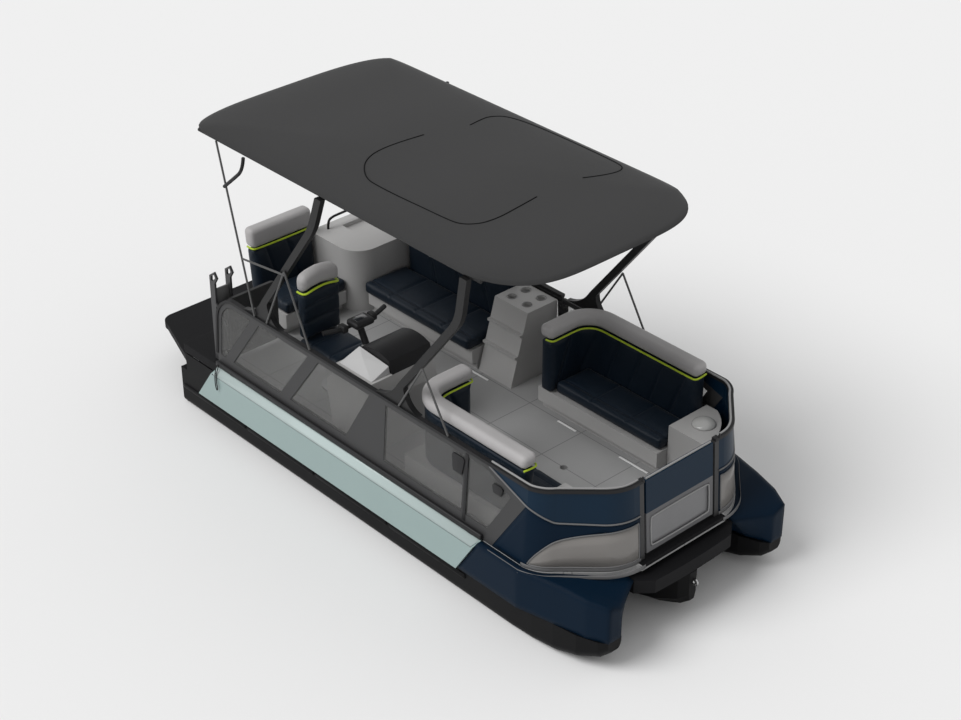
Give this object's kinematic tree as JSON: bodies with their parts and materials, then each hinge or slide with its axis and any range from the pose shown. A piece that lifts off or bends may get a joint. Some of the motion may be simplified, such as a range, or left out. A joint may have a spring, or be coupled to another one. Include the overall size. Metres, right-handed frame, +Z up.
{
  "type": "pontoon boat",
  "caption": "Pontoon boat with moulded hulls, smoked side fences, lounges, helm with handlebar, canopy on bent arms and a water-jet drive.",
  "frame": {"origin": "on the ground under the middle of the boat, level with the keels it stands on", "axes": "+X towards the bow, +Y to port, +Z up"},
  "size_m": [6, 2.44, 2.95],
  "materials": {
    "hull_black": "moulded, satin",
    "jet_metal": "cast, satin",
    "engine_grey": "cast, matt",
    "frame_metal": "mill finish",
    "deck_grey": "pebbled tiles, matt",
    "pale_gloss": "moulded, glossy",
    "navy_gloss": "moulded, glossy",
    "steel": "polished",
    "fence_grey": "satin",
    "smoked_panel": "smoked sheet",
    "gate_panel_grey": "moulded, satin",
    "rail_dark": "satin",
    "base_grey": "moulded, satin",
    "seat_navy": "marine vinyl",
    "canopy_fabric": "woven acrylic",
    "arm_black": "powder coat, satin"
  },
  "bodies": {
    "root": {"aft_arms": "arm_black", "aft_corner_console": "base_grey", "aft_lounge_back": "seat_navy", "aft_lounge_base": "base_grey", "aft_lounge_cushion": "seat_navy", "bow_eye": "steel", "bow_lounge_backs": "seat_navy", "bow_lounge_bases": "base_grey", "bow_lounge_cushions": "seat_navy", "bow_step": "deck_grey", "bow_trays": "base_grey", "canopy": "canopy_fabric", "canopy_frame": "arm_black", "canopy_struts": "arm_black", "centre_hull": "hull_black", "cleats": "rail_dark", "console_hood": "rail_dark", "deck": "deck_grey", "deck_beams": "frame_metal", "engine_block": "engine_grey", "front_arms": "arm_black", "grab_loop": "steel", "helm_console": "base_grey", "helm_pedestal": "frame_metal", "jet_pump": "jet_metal", "port_bow_band": "navy_gloss", "port_bow_cover": "navy_gloss", "port_bow_panel": "navy_gloss", "port_cabinet": "base_grey", "port_fence": "fence_grey", "port_hull": "hull_black", "port_rail": "rail_dark", "port_screens": "smoked_panel", "port_side_cover": "pale_gloss", "ride_plate": "jet_metal", "starboard_bow_band": "navy_gloss", "starboard_bow_cover": "navy_gloss", "starboard_bow_panel": "navy_gloss", "starboard_fence": "fence_grey", "starboard_hull": "hull_black", "starboard_rail": "rail_dark", "starboard_screens": "smoked_panel", "starboard_side_cover": "pale_gloss", "stern_bench_back": "seat_navy", "stern_bench_base": "base_grey", "stern_bench_cushion": "seat_navy", "swim_platform": "deck_grey"},
    "bow_gate": {"bow_gate_frame": "fence_grey", "bow_gate_band": "navy_gloss", "bow_gate_panel": "gate_panel_grey"},
    "side_gate": {"side_gate_frame": "fence_grey", "side_gate_screen": "smoked_panel"},
    "stern_gate": {"stern_gate": "fence_grey"},
    "helm_seat": {"helm_seat": "seat_navy"},
    "handlebar": {"handlebar": "rail_dark"},
    "impeller": {"impeller": "jet_metal"},
    "steering_nozzle": {"steering_nozzle": "jet_metal"},
    "reverse_bucket": {"reverse_bucket": "jet_metal"},
    "boarding_ladder": {"boarding_ladder": "frame_metal"}
  },
  "joints": [
    {"name": "bow_gate_hinge", "type": "hinge", "parent": "root", "child": "bow_gate", "pos_m": [2.675, 0.406, 1], "axis": [0, 0, -1], "range_deg": [0, 90]},
    {"name": "side_gate_hinge", "type": "hinge", "parent": "root", "child": "side_gate", "pos_m": [0.38567, 1.051, 1], "axis": [0, 0, -1], "range_deg": [0, 90]},
    {"name": "stern_gate_hinge", "type": "hinge", "parent": "root", "child": "stern_gate", "pos_m": [-1.639, -1.046, 1], "axis": [0, 0, -1], "range_deg": [0, 90]},
    {"name": "helm_seat_swivel", "type": "hinge", "parent": "root", "child": "helm_seat", "pos_m": [-0.7, -0.56, 0.95], "axis": [0, 0, 1], "range_deg": [-90, 90]},
    {"name": "handlebar_steer", "type": "hinge", "parent": "root", "child": "handlebar", "pos_m": [-0.4, -0.56, 1.42], "axis": [-0.4695, 0, 0.8829], "range_deg": [-30, 30]},
    {"name": "nozzle_steer", "type": "hinge", "parent": "root", "child": "steering_nozzle", "pos_m": [-2.435, 0, 0.165], "axis": [0, 0, 1], "range_deg": [-20.5, 20.5]},
    {"name": "reverse_bucket_drop", "type": "hinge", "parent": "steering_nozzle", "child": "reverse_bucket", "pos_m": [-2.505, 0, 0.165], "axis": [0, -1, 0], "range_deg": [0, 75]},
    {"name": "impeller_spin", "type": "hinge", "parent": "root", "child": "impeller", "pos_m": [-2.2, 0, 0.165], "axis": [1, 0, 0], "continuous": true},
    {"name": "boarding_ladder_fold", "type": "hinge", "parent": "root", "child": "boarding_ladder", "pos_m": [-2.955, 0.43, 0.356], "axis": [0, 1, 0], "range_deg": [0, 100]}
  ],
  "couplings": [
    {"joint": "nozzle_steer", "follows": "handlebar_steer", "ratio": -0.66667}
  ]
}
